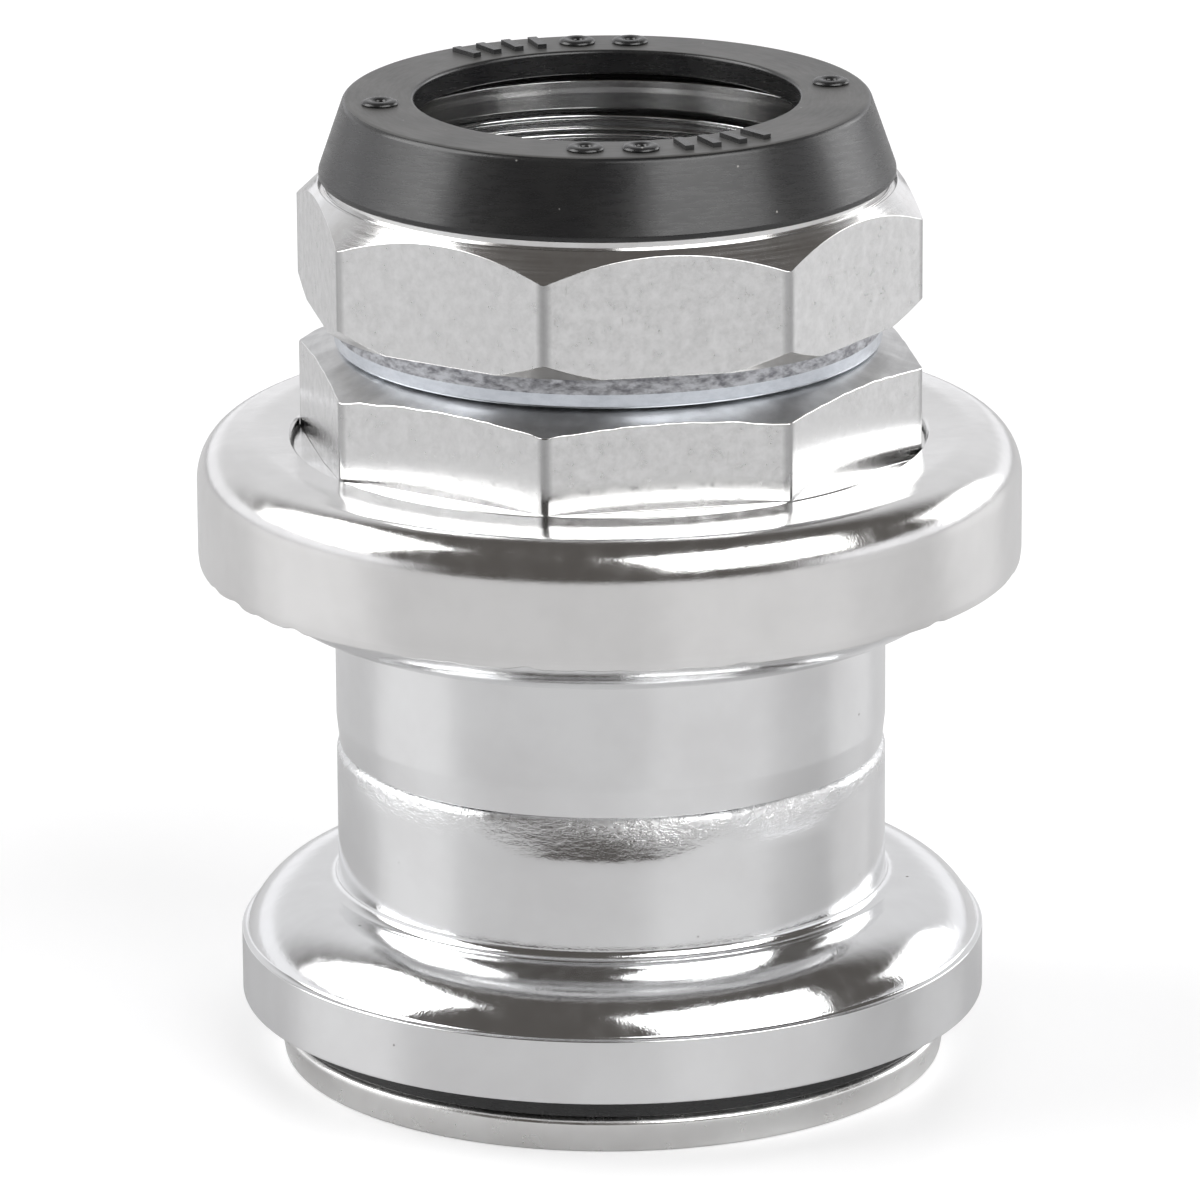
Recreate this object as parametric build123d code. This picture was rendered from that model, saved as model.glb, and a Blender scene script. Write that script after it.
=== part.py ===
from build123d import *

import os
from math import asin, cos, degrees, pi, radians, sin, tan

# Threaded bicycle headset for a one inch steerer tube, standing on its crown race.
# The origin is the centre of the crown race's underside and +Z runs up the steering axis.
# All sizes are in millimetres, and a name that ends in _R is a radius.

# Steerer tube and its thread, 24 threads to the inch
STEERER_R = 12.7
THREAD_PITCH = 25.4 / 24
THREAD_DEPTH_RATIO = 0.5413
CROWN_SEAT_R = 13.2

# Ball bearings: the upper and the lower one have the same balls on the same circle
BALL_R = 1.984
BALL_COUNT = 16
BALL_CIRCLE_MARGIN = 2.8
BALL_CLEARANCE = 0.03
TRACK_R = 2.1
CONTACT_ANGLE = 45
TRACK_ANGLE = 60

# Ball retainer: a flat ring with one square pocket for each ball
RETAINER_INNER_WIDTH = 2.5
RETAINER_OUTER_WIDTH = 2.6
RETAINER_THICKNESS = 0.6
RETAINER_OFFSET = 0.1
POCKET_CLEARANCE = 0.06

# Pressed head cup, with heights counted from its open mouth to the end of its skirt
CUP_HEIGHT = 14.21
CUP_MOUTH_CLEARANCE = 0.4
CUP_MOUTH_DEPTH = 3.0
CUP_BAND_WALL = 1.5
CUP_BAND_HEIGHT = 3.58
CUP_DOME_R = 4.05
CUP_LEDGE_WIDTH = 0.05
CUP_CREST_HEIGHT = 6.28
CUP_CREST_WIDTH = 1.3
CUP_ROOT_WIDTH = 0.35
CUP_ROOT_RISE = 0.2
CUP_SKIRT_RISE = 0.75
CUP_SKIRT_WALL = 1.35
CUP_BORE_DEPTH = 5.5
CUP_BALL_DEPTH = 2.75
LOWER_RIM_INSET = 0.6
LOWER_RIM_LENGTH = 0.8
UPPER_RIM_INSET = 0.18
UPPER_RIM_LENGTH = 1.6

# Crown race
RACE_FOOT_TAPER = 0.3
RACE_RIM_WIDTH = 0.1
RACE_HEIGHT = 2.05
RACE_EDGE = 0.35
RACE_CONE_WIDTH = 0.6
RACE_LAND_FALL = 0.2
RACE_TO_CUP_GAP = 1.47

# Rubber seal that fills the gap between the crown race and the lower cup
RING_SEAL_TO_MOUTH_GAP = 0.6
RING_SEAL_HEIGHT = 1.9
RING_SEAL_LIP = 0.7
RING_SEAL_CLEARANCE = 0.02

# Octagons of the adjusting race and of the locknut
OCTAGON_WIDTH = 32.0
OCTAGON_CORNER_R = 17.25
OCTAGON_TURN = -11.45

# Adjusting race, screwed on to the steerer above the upper bearing
ADJUSTER_CONE_WIDTH = 0.6
ADJUSTER_LAND_FALL = 0.2
ADJUSTER_FLANGE_WIDTH = 0.75
ADJUSTER_FLANGE_HEIGHT = 1.0
ADJUSTER_HEIGHT = 6.15
ADJUSTER_CROWN_R = 14.85
ADJUSTER_CHAMFER_ANGLE = 22

# Pressed dust cover, seated on the flange of the adjusting race
COVER_TO_BAND_GAP = 1.02
COVER_HEIGHT = 7.0
COVER_SHEET = 1.0
COVER_SHOULDER_R = 1.8
COVER_SEAT_MARGIN = 0.2
COVER_TOP_FALL = 0.35
COVER_HOLE_CLEARANCE = 0.05
COVER_TO_CUP_GAP = 2.36

# Lock washer, with a key for the steerer's groove
WASHER_R = 14.9
WASHER_THICKNESS = 1.95
WASHER_BORE_CLEARANCE = 0.15
WASHER_KEY_WIDTH = 3.0
WASHER_KEY_DEPTH = 1.2

# Locknut, with the collar that carries the top seal
LOCKNUT_HEIGHT = 6.85
LOCKNUT_CROWN_R = 15.7
LOCKNUT_CHAMFER_ANGLE = 44
LOCKNUT_FOOT_CHAMFER = 0.91
LOCKNUT_LIP_R = 15.35
LOCKNUT_LIP_HEIGHT = 0.4
COLLAR_R = 13.6
COLLAR_HEIGHT = 2.5
COLLAR_BORE_R = 12.75
COLLAR_BORE_DEPTH = 0.75

# Rubber top seal, pushed over the collar of the locknut
TOP_SEAL_BASE_R = 15.64
TOP_SEAL_R = 14.24
TOP_SEAL_HEIGHT = 4.25
TOP_SEAL_HOLE_R = 10.42
TOP_SEAL_LIP = 1.35
TOP_SEAL_EDGE = 0.35
TOP_SEAL_CLEARANCE = 0.02

# Gap between end faces that turn against each other
RUNNING_GAP = 0.03

# Flats that stand for the round stretches of the outlines, and facets of a ball
DOME_FLAT_COUNT = 5
TRACK_FLAT_COUNT = 3
SHOULDER_FLAT_COUNT = 3
BALL_MERIDIAN_COUNT = 8
BALL_PARALLELS = (-45, 0, 45)

# Radii that follow the fork's crown seat, from the ball circle to the cup's band and back to its bore
BALL_CIRCLE_R = CROWN_SEAT_R + BALL_CIRCLE_MARGIN
RETAINER_BORE_R = BALL_CIRCLE_R - RETAINER_INNER_WIDTH
RETAINER_R = BALL_CIRCLE_R + RETAINER_OUTER_WIDTH
CUP_MOUTH_R = RETAINER_R + CUP_MOUTH_CLEARANCE
CUP_BAND_R = CUP_MOUTH_R + CUP_BAND_WALL
CUP_CREST_R = CUP_BAND_R - CUP_LEDGE_WIDTH - CUP_DOME_R
CUP_SKIRT_R = CUP_CREST_R - CUP_CREST_WIDTH
CUP_ROOT_R = CUP_SKIRT_R + CUP_ROOT_WIDTH
CUP_BORE_R = CUP_SKIRT_R - CUP_SKIRT_WALL

# Radii of the two cones, and of the rims beside them
RACE_CONE_R = BALL_CIRCLE_R + RACE_CONE_WIDTH
RING_SEAL_R = CUP_MOUTH_R - RING_SEAL_TO_MOUTH_GAP
RACE_R = RING_SEAL_R + RACE_RIM_WIDTH
RACE_FOOT_R = RACE_R - RACE_FOOT_TAPER
ADJUSTER_CONE_R = BALL_CIRCLE_R + ADJUSTER_CONE_WIDTH
ADJUSTER_FLANGE_R = OCTAGON_CORNER_R + ADJUSTER_FLANGE_WIDTH
THREAD_BORE_R = STEERER_R - THREAD_DEPTH_RATIO * THREAD_PITCH

# Heights of the stack, from the crown race upwards
LOWER_MOUTH_Z = RACE_HEIGHT + RACE_TO_CUP_GAP
LOWER_BALL_Z = LOWER_MOUTH_Z + CUP_BALL_DEPTH
UPPER_MOUTH_Z = LOWER_MOUTH_Z + 2 * CUP_HEIGHT
UPPER_BALL_Z = UPPER_MOUTH_Z - CUP_BALL_DEPTH
COVER_SEAT_Z = UPPER_MOUTH_Z + COVER_TO_CUP_GAP
WASHER_Z = COVER_SEAT_Z + ADJUSTER_HEIGHT + RUNNING_GAP
LOCKNUT_Z = WASHER_Z + WASHER_THICKNESS + RUNNING_GAP
TOP_SEAL_Z = LOCKNUT_Z + LOCKNUT_HEIGHT + LOCKNUT_LIP_HEIGHT


def turned(corners):
    """Solid of revolution about Z of a closed outline, given as (radius, height) corners."""
    return revolve(make_face(Plane.XZ * Polyline(*corners, close=True)), Axis.Z)


def arc(centre, radius, start, end, flats):
    """Corners of an arc drawn as flats, with angles in degrees up from the outward radius."""
    angles = [radians(start + (end - start) * i / flats) for i in range(flats + 1)]
    return [(centre[0] + radius * cos(a), centre[1] + radius * sin(a)) for a in angles]


def track(ball_z, contact):
    """Corners of a ball track whose flats all clear the ball, from its first angle to its last."""
    reach = TRACK_R - BALL_R - BALL_CLEARANCE
    centre_r = BALL_CIRCLE_R - reach * cos(radians(contact))
    centre_z = ball_z - reach * sin(radians(contact))
    corner_r = TRACK_R / cos(radians(TRACK_ANGLE / TRACK_FLAT_COUNT / 2))
    start = contact - TRACK_ANGLE / 2
    return arc((centre_r, centre_z), corner_r, start, start + TRACK_ANGLE, TRACK_FLAT_COUNT)


def octagon(height):
    """Octagonal bar, turned to where both nuts have their corners."""
    corner_r = OCTAGON_WIDTH / 2 / cos(pi / 8)
    return extrude(RegularPolygon(corner_r, 8, rotation=OCTAGON_TURN - 90), height)


def crown_race():
    """Crown race: a disc with a tapered foot, and the cone of the lower bearing."""
    cone = track(LOWER_BALL_Z, 180 + CONTACT_ANGLE)
    return turned([
        (CROWN_SEAT_R, 0),
        (RACE_FOOT_R, 0),
        (RACE_R, RACE_HEIGHT - RACE_EDGE),
        (RACE_R - RACE_EDGE, RACE_HEIGHT),
        (RACE_CONE_R, RACE_HEIGHT),
        (RACE_CONE_R, cone[-1][1] - RACE_LAND_FALL),
        *reversed(cone),
        (CROWN_SEAT_R, cone[0][1]),
    ])


def ring_seal():
    """Rubber ring round the crown race's cone, with a thin wall that reaches into the cup."""
    bore_r = RACE_CONE_R + RING_SEAL_CLEARANCE
    top_z = RACE_HEIGHT + RING_SEAL_HEIGHT
    return turned([
        (bore_r, RACE_HEIGHT),
        (RING_SEAL_R, RACE_HEIGHT),
        (RING_SEAL_R, top_z),
        (RING_SEAL_R - RING_SEAL_LIP, top_z),
        (bore_r, RACE_HEIGHT + RING_SEAL_LIP),
    ])


def head_cup(rim_inset, rim_length):
    """Pressed head cup, with its mouth down at height 0 and its skirt upwards."""
    dome_centre = (CUP_CREST_R, CUP_CREST_HEIGHT - CUP_DOME_R)
    dome_start = degrees(asin((CUP_BAND_HEIGHT - dome_centre[1]) / CUP_DOME_R))
    dome = arc(dome_centre, CUP_DOME_R, dome_start, 90, DOME_FLAT_COUNT)
    race = track(CUP_BALL_DEPTH, CONTACT_ANGLE)
    return turned([
        (CUP_MOUTH_R, 0),
        (CUP_BAND_R, 0),
        (CUP_BAND_R, CUP_BAND_HEIGHT),
        *dome,
        (CUP_ROOT_R, CUP_CREST_HEIGHT + CUP_ROOT_RISE),
        (CUP_SKIRT_R, CUP_CREST_HEIGHT + CUP_SKIRT_RISE),
        (CUP_SKIRT_R, CUP_HEIGHT - rim_length),
        (CUP_SKIRT_R - rim_inset, CUP_HEIGHT),
        (CUP_BORE_R, CUP_HEIGHT),
        (CUP_BORE_R, CUP_BORE_DEPTH),
        *reversed(race),
        (CUP_MOUTH_R, CUP_MOUTH_DEPTH),
    ])


def ball():
    """Bearing ball, faceted, with a corner in each direction in which it meets a track."""
    rings = []
    turn = 360 / BALL_MERIDIAN_COUNT
    for parallel in BALL_PARALLELS:
        first = Vector(BALL_R, 0, 0).rotate(Axis.Y, -parallel)
        rings.append([first.rotate(Axis.Z, turn * i) for i in range(BALL_MERIDIAN_COUNT)])
    poles = (Vector(0, 0, -BALL_R), Vector(0, 0, BALL_R))
    faces = []
    for i in range(BALL_MERIDIAN_COUNT):
        j = (i + 1) % BALL_MERIDIAN_COUNT
        faces.append((poles[0], rings[0][j], rings[0][i]))
        faces.append((poles[1], rings[-1][i], rings[-1][j]))
        for low, high in zip(rings, rings[1:]):
            faces.append((low[i], low[j], high[j], high[i]))
    return Solid(Shell([Face(Wire.make_polygon(corners)) for corners in faces]))


def retainer(ball_z, towards_mouth):
    """Flat many-sided ring with a square pocket round each ball, set off from their middle plane."""
    sides = 2 * BALL_COUNT
    ring = RegularPolygon(RETAINER_R, sides) - RegularPolygon(RETAINER_BORE_R, sides, major_radius=False)
    width = 2 * (BALL_R + POCKET_CLEARANCE)
    ring -= [place * Rectangle(width, width) for place in PolarLocations(BALL_CIRCLE_R, BALL_COUNT)]
    low_z = ball_z + towards_mouth * RETAINER_OFFSET - RETAINER_THICKNESS / 2
    return Pos(0, 0, low_z) * extrude(ring, RETAINER_THICKNESS)


def adjusting_race():
    """Adjusting race: octagon above, flange for the dust cover, and the upper bearing's cone."""
    cone = track(UPPER_BALL_Z, 180 - CONTACT_ANGLE)
    flange_z = COVER_SEAT_Z - ADJUSTER_FLANGE_HEIGHT
    below = turned([
        (THREAD_BORE_R, cone[-1][1]),
        *reversed(cone),
        (ADJUSTER_CONE_R, cone[0][1] + ADJUSTER_LAND_FALL),
        (ADJUSTER_CONE_R, flange_z),
        (ADJUSTER_FLANGE_R, flange_z),
        (ADJUSTER_FLANGE_R, COVER_SEAT_Z),
        (THREAD_BORE_R, COVER_SEAT_Z),
    ])
    top_z = COVER_SEAT_Z + ADJUSTER_HEIGHT
    chamfer = (OCTAGON_CORNER_R - ADJUSTER_CROWN_R) * tan(radians(ADJUSTER_CHAMFER_ANGLE))
    above = turned([
        (THREAD_BORE_R, COVER_SEAT_Z),
        (OCTAGON_CORNER_R, COVER_SEAT_Z),
        (OCTAGON_CORNER_R, top_z - chamfer),
        (ADJUSTER_CROWN_R, top_z),
        (THREAD_BORE_R, top_z),
    ])
    return below + (above & Pos(0, 0, COVER_SEAT_Z) * octagon(ADJUSTER_HEIGHT))


def dust_cover():
    """Pressed cover with a round hole for the octagon, a rounded shoulder and a straight skirt."""
    inner_r = CUP_BAND_R + COVER_TO_BAND_GAP
    outer_r = inner_r + COVER_SHEET
    hole_r = OCTAGON_CORNER_R + COVER_HOLE_CLEARANCE
    seat_r = ADJUSTER_FLANGE_R + COVER_SEAT_MARGIN
    top_z = COVER_SEAT_Z + COVER_SHEET
    low_z = top_z - COVER_HEIGHT
    bend = (outer_r - COVER_SHOULDER_R, top_z - COVER_TOP_FALL - COVER_SHOULDER_R)
    inner_bend = arc(bend, COVER_SHOULDER_R - COVER_SHEET, 0, 90, 1)
    return turned([
        (inner_r, low_z),
        (outer_r, low_z),
        *arc(bend, COVER_SHOULDER_R, 0, 90, SHOULDER_FLAT_COUNT),
        (seat_r, top_z),
        (hole_r, top_z),
        (hole_r, COVER_SEAT_Z),
        (seat_r, COVER_SEAT_Z),
        *reversed(inner_bend),
    ])


def lock_washer():
    """Thick plain washer with one key that points inwards at the back."""
    bore_r = STEERER_R + WASHER_BORE_CLEARANCE
    ring = Cylinder(WASHER_R, WASHER_THICKNESS) - Cylinder(bore_r, WASHER_THICKNESS)
    key = Box(WASHER_KEY_WIDTH, 2 * WASHER_KEY_DEPTH, WASHER_THICKNESS)
    middle_z = WASHER_Z + WASHER_THICKNESS / 2
    return Pos(0, 0, middle_z) * (ring + Pos(0, bore_r, 0) * key)


def locknut():
    """Octagonal locknut, chamfered at both ends, with a lip and a collar for the top seal."""
    chamfer = (OCTAGON_CORNER_R - LOCKNUT_CROWN_R) * tan(radians(LOCKNUT_CHAMFER_ANGLE))
    lip_z = LOCKNUT_HEIGHT + LOCKNUT_LIP_HEIGHT
    collar_z = LOCKNUT_HEIGHT + COLLAR_HEIGHT
    bored_z = collar_z - COLLAR_BORE_DEPTH
    blank = turned([
        (THREAD_BORE_R, 0),
        (OCTAGON_CORNER_R - LOCKNUT_FOOT_CHAMFER, 0),
        (OCTAGON_CORNER_R, LOCKNUT_FOOT_CHAMFER),
        (OCTAGON_CORNER_R, LOCKNUT_HEIGHT - chamfer),
        (LOCKNUT_CROWN_R, LOCKNUT_HEIGHT),
        (LOCKNUT_LIP_R, LOCKNUT_HEIGHT),
        (LOCKNUT_LIP_R, lip_z),
        (COLLAR_R, lip_z),
        (COLLAR_R, collar_z),
        (COLLAR_BORE_R, collar_z),
        (COLLAR_BORE_R, bored_z),
        (THREAD_BORE_R, bored_z),
    ])
    return Pos(0, 0, LOCKNUT_Z) * (blank & octagon(collar_z))


def top_seal():
    """Conical rubber seal over the collar, with a thin lip that narrows to the stem."""
    bore_r = COLLAR_R + TOP_SEAL_CLEARANCE
    lip_z = TOP_SEAL_HEIGHT - TOP_SEAL_LIP
    return Pos(0, 0, TOP_SEAL_Z) * turned([
        (bore_r, 0),
        (TOP_SEAL_BASE_R, 0),
        (TOP_SEAL_R, TOP_SEAL_HEIGHT - TOP_SEAL_EDGE),
        (TOP_SEAL_R - TOP_SEAL_EDGE, TOP_SEAL_HEIGHT),
        (TOP_SEAL_HOLE_R, TOP_SEAL_HEIGHT),
        (TOP_SEAL_HOLE_R, lip_z),
        (bore_r, lip_z),
    ])


def bearing(name, ball_z, towards_mouth):
    """Retainer and balls of one bearing, each under its own name."""
    pieces = {f"{name}_retainer": retainer(ball_z, towards_mouth)}
    places = PolarLocations(BALL_CIRCLE_R, BALL_COUNT)
    for number, place in enumerate(places, start=1):
        pieces[f"{name}_ball_{number:02d}"] = Pos(0, 0, ball_z) * place * ball()
    return pieces


def headset():
    """All pieces of the headset in their places, from the crown race upwards."""
    lower_cup = Pos(0, 0, LOWER_MOUTH_Z) * head_cup(LOWER_RIM_INSET, LOWER_RIM_LENGTH)
    upper_cup = head_cup(UPPER_RIM_INSET, UPPER_RIM_LENGTH)
    return {
        "crown_race": crown_race(),
        "ring_seal": ring_seal(),
        **bearing("lower", LOWER_BALL_Z, -1),
        "lower_head_cup": lower_cup,
        "upper_head_cup": Pos(0, 0, UPPER_MOUTH_Z) * Rot(180, 0, 0) * upper_cup,
        **bearing("upper", UPPER_BALL_Z, 1),
        "adjusting_race": adjusting_race(),
        "dust_cover": dust_cover(),
        "lock_washer": lock_washer(),
        "locknut": locknut(),
        "top_seal": top_seal(),
    }


os.makedirs("parts", exist_ok=True)
for node, piece in headset().items():
    export_step(piece, f"parts/{node}.step")
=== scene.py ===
"""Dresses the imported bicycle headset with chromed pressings, nuts, caged balls and rubber seals.

Outlines are written in millimetres as corners of (radius, height) and become metres in the mesh.
They run outwards along the bottom and inwards along the top, so that every face points outwards.
Azimuth 0 faces the camera and azimuth 90 lies to its right.
"""

import logging
import math
from collections.abc import Callable, Sequence
from dataclasses import dataclass, field
from enum import Enum
from functools import cache

import bpy
import numpy as np
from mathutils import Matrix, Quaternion, Vector, noise


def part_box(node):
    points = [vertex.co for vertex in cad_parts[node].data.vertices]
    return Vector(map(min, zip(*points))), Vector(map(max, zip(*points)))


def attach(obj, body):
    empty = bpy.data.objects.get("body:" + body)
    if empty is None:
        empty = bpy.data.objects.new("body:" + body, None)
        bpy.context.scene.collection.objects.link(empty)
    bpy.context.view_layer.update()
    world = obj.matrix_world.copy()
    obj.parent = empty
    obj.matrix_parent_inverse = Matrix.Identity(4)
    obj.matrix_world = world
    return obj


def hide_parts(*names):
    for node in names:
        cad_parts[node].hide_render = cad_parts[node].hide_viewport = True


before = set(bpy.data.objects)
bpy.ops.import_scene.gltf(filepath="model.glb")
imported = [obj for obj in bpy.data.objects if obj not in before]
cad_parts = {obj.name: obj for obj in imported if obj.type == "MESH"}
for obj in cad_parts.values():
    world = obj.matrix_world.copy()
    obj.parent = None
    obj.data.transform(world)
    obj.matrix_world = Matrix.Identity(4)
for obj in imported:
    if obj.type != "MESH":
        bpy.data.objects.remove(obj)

log = logging.getLogger("headset")

MM = 0.001
PICTURE_WIDTH_PX = 1200
SENSOR_WIDTH_MM = 36.0
CORNERS_OF_OCTAGON = 8
WALL_SLACK = 0.05
WALL_TILT = 0.3

Point = tuple[float, float]
Colour = tuple[float, float, float]
Outline = Callable[[float], list["Corner"]]
Feeds = dict[str | int, object]
Node = bpy.types.Node
Socket = bpy.types.NodeSocket
Material = bpy.types.Material
Piece = bpy.types.Object


# Outlines and ring meshes


@dataclass(frozen=True)
class Corner:
    """One corner of a turned outline; a corner without a fillet is kept as it is."""

    radius: float
    height: float
    fillet: float = 0.0


def towards_camera(azimuth: float) -> float:
    """Angle in the XY plane, in radians, of an azimuth in degrees."""
    return math.radians(azimuth - 90)


def arc(centre: Point, radius: float, start: float, end: float, steps: int) -> list[Corner]:
    """Lays corners along an arc.

    Args:
        centre: Middle of the arc as (radius, height).
        radius: Radius of the arc.
        start: First angle in degrees, counted up from the outward direction.
        end: Last angle in degrees.
        steps: Number of short sides.

    Returns:
        The corners of the arc, without fillets.
    """
    angles = np.radians(np.linspace(start, end, steps + 1))
    return [Corner(centre[0] + radius * math.cos(a), centre[1] + radius * math.sin(a)) for a in angles]


def turned_over(corners: Sequence[Corner], height: float) -> list[Corner]:
    """Mirrors an outline upside down and keeps its sense of travel.

    Args:
        corners: The outline.
        height: Level that the outline's zero level goes to.

    Returns:
        The mirrored outline.
    """
    return [Corner(c.radius, height - c.height, c.fillet) for c in reversed(corners)]


def raised(corners: Sequence[Corner], height: float) -> list[Corner]:
    """Lifts an outline by a height."""
    return [Corner(c.radius, height + c.height, c.fillet) for c in corners]


def rounded(corners: Sequence[Corner], steps: int = 5) -> list[Point]:
    """Rounds the corners of a closed outline.

    Args:
        corners: The outline's corners in order.
        steps: Short sides that make one fillet.

    Returns:
        The outline's points, always as many for the same kind of corners.
    """
    points: list[Point] = []
    for index, corner in enumerate(corners):
        here = np.array((corner.radius, corner.height))
        if corner.fillet == 0:
            points.append((corner.radius, corner.height))
            continue
        before = corners[index - 1]
        after = corners[(index + 1) % len(corners)]
        back = np.array((before.radius, before.height)) - here
        ahead = np.array((after.radius, after.height)) - here
        room = 0.45 * min(np.linalg.norm(back), np.linalg.norm(ahead))
        back /= np.linalg.norm(back)
        ahead /= np.linalg.norm(ahead)
        half = math.acos(float(np.clip(back @ ahead, -0.9999, 0.9999))) / 2
        tangent = min(corner.fillet / math.tan(half), room)
        radius = tangent * math.tan(half)
        bisector = (back + ahead) / np.linalg.norm(back + ahead)
        centre = here + bisector * radius / math.sin(half)
        first = here + back * tangent - centre
        last = here + ahead * tangent - centre
        start = math.atan2(first[1], first[0])
        sweep = math.atan2(first[0] * last[1] - first[1] * last[0], float(first @ last))
        for step in range(steps + 1):
            angle = start + sweep * step / steps
            points.append((centre[0] + radius * math.cos(angle), centre[1] + radius * math.sin(angle)))
    return points


def even_angles(count: int) -> list[float]:
    """Evenly spaced angles of a full turn, in radians."""
    return [2 * math.pi * i / count for i in range(count)]


def placed(name: str, data: bpy.types.ID) -> Piece:
    """Makes an object at the origin and links it to the scene."""
    piece = bpy.data.objects.new(name, data)
    bpy.context.scene.collection.objects.link(piece)
    return piece


def mesh_object(name: str, vertices: np.ndarray, faces: list[tuple[int, ...]]) -> Piece:
    """Makes an object whose smooth normals lean to its larger faces.

    Args:
        name: Name of the piece.
        vertices: Places in metres, one row each.
        faces: Corners of each face, counter-clockwise seen from outside.

    Returns:
        The new object, linked to the scene.
    """
    mesh = bpy.data.meshes.new(name)
    mesh.from_pydata(vertices.tolist(), [], faces)
    quads = np.array(faces)
    across = vertices[quads[:, 2]] - vertices[quads[:, 0]]
    along = vertices[quads[:, 3]] - vertices[quads[:, 1]]
    leaning = np.cross(across, along)
    normals = np.zeros_like(vertices)
    for column in range(quads.shape[1]):
        np.add.at(normals, quads[:, column], leaning)
    normals /= np.maximum(np.linalg.norm(normals, axis=1, keepdims=True), 1e-20)
    mesh.polygons.foreach_set("use_smooth", [True] * len(faces))
    mesh.normals_split_custom_set_from_vertices(normals.tolist())
    return placed(name, mesh)


def turn_ring(name: str, outline: Outline, angles: Sequence[float], steps: int = 5) -> Piece:
    """Turns an outline into a closed ring; the outline may change on its way round.

    Args:
        name: Name of the piece.
        outline: Gives the corners, in millimetres, at an angle in radians.
        angles: Angles of the ring's stations.
        steps: Short sides of each fillet.

    Returns:
        The ring as an object.
    """
    rows = []
    for angle in angles:
        across = np.array(rounded(outline(angle), steps)) * MM
        radii, heights = across[:, 0], across[:, 1]
        rows.append(np.column_stack((radii * math.cos(angle), radii * math.sin(angle), heights)))
    stations, points = len(rows), len(rows[0])
    faces = []
    for i in range(stations):
        here, there = i * points, (i + 1) % stations * points
        for j in range(points):
            k = (j + 1) % points
            faces.append((here + j, there + j, there + k, here + k))
    return mesh_object(name, np.vstack(rows), faces)


@dataclass(frozen=True)
class Waviness:
    """Small unevenness of a pressed wall, in millimetres, as a smooth noise round the axis."""

    depth: float
    bumps_round: float
    seed: int

    def at(self, angle: float, height: float = 0.0) -> float:
        """Offset at an angle in radians and a height in millimetres."""
        reach = self.bumps_round / (2 * math.pi)
        place = Vector((reach * math.cos(angle), reach * math.sin(angle), height + 17.3 * self.seed))
        return self.depth * noise.noise(place)


@dataclass(frozen=True)
class Octagon:
    """Wrench octagon with slightly rounded corners."""

    width: float = 32.0
    corner_round: float = 0.55
    first_corner: float = -11.45

    def radius(self, angle: float) -> float:
        """Distance from the axis to the wall.

        Args:
            angle: Direction in radians.

        Returns:
            The distance in millimetres.
        """
        half_side = math.pi / CORNERS_OF_OCTAGON
        corner = towards_camera(self.first_corner)
        offset = abs((angle - corner + half_side) % (2 * half_side) - half_side)
        apothem = self.width / 2
        middle = (apothem - self.corner_round) / math.cos(half_side)
        reach = math.atan2(
            self.corner_round * math.sin(half_side), middle + self.corner_round * math.cos(half_side)
        )
        if offset >= reach:
            return apothem / math.cos(half_side - offset)
        return middle * math.cos(offset) + math.sqrt(self.corner_round**2 - (middle * math.sin(offset)) ** 2)

    def angles(self) -> list[float]:
        """Stations that crowd round each corner, in radians."""
        near = [0, 0.12, 0.24, 0.36, 0.48, 0.6, 0.72, 0.9, 1.3, 2, 3, 4.5, 6, 8, 10, 12, 14, 16, 18, 20]
        offsets = sorted({-n for n in near} | set(near)) + [180 / CORNERS_OF_OCTAGON]
        corner = towards_camera(self.first_corner)
        side = 2 * math.pi / CORNERS_OF_OCTAGON
        return [corner + side * k + math.radians(o) for k in range(CORNERS_OF_OCTAGON) for o in offsets]


# Finishes


class Nodes:
    """A node tree in which each node is added together with what feeds it."""

    def __init__(self, tree: bpy.types.NodeTree) -> None:
        """Takes the tree to work in."""
        self.tree = tree

    def feed(self, node: Node, feeds: Feeds) -> None:
        """Links or sets a node's inputs.

        Args:
            node: The node.
            feeds: What each input gets, by its name or number: a value, a socket, or a node for its
                first output.
        """
        for key, value in feeds.items():
            if isinstance(value, Node):
                value = value.outputs[0]
            if isinstance(value, Socket):
                self.tree.links.new(value, node.inputs[key])
            else:
                node.inputs[key].default_value = value

    def add(self, kind: str, feeds: Feeds | None = None, **settings: object) -> Node:
        """Adds a node.

        Args:
            kind: Type of the node.
            feeds: What its inputs get.
            settings: Its properties, which are set before its inputs.

        Returns:
            The node.
        """
        node = self.tree.nodes.new(kind)
        for key, value in settings.items():
            setattr(node, key, value)
        self.feed(node, feeds or {})
        return node

    def math(self, operation: str, *operands: object) -> Socket:
        """Adds a Math node; each operand is a socket or a number."""
        return self.add("ShaderNodeMath", dict(enumerate(operands)), operation=operation).outputs[0]

    def share(self, value: Socket, first: float, last: float) -> Socket:
        """Smooth share that goes from 0 at the first level to 1 at the last."""
        feeds = {"From Min": first, "From Max": last, "Value": value}
        return self.add("ShaderNodeMapRange", feeds, interpolation_type="SMOOTHSTEP").outputs[0]

    def mix(self, share: Socket, first: Socket | Colour, second: Colour) -> Socket:
        """Mixes a second colour into the first by a share."""
        below = first if isinstance(first, Socket) else (*first, 1)
        feeds = {"Factor": share, "A": below, "B": (*second, 1)}
        return self.add("ShaderNodeMix", feeds, data_type="RGBA").outputs["Result"]


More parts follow.
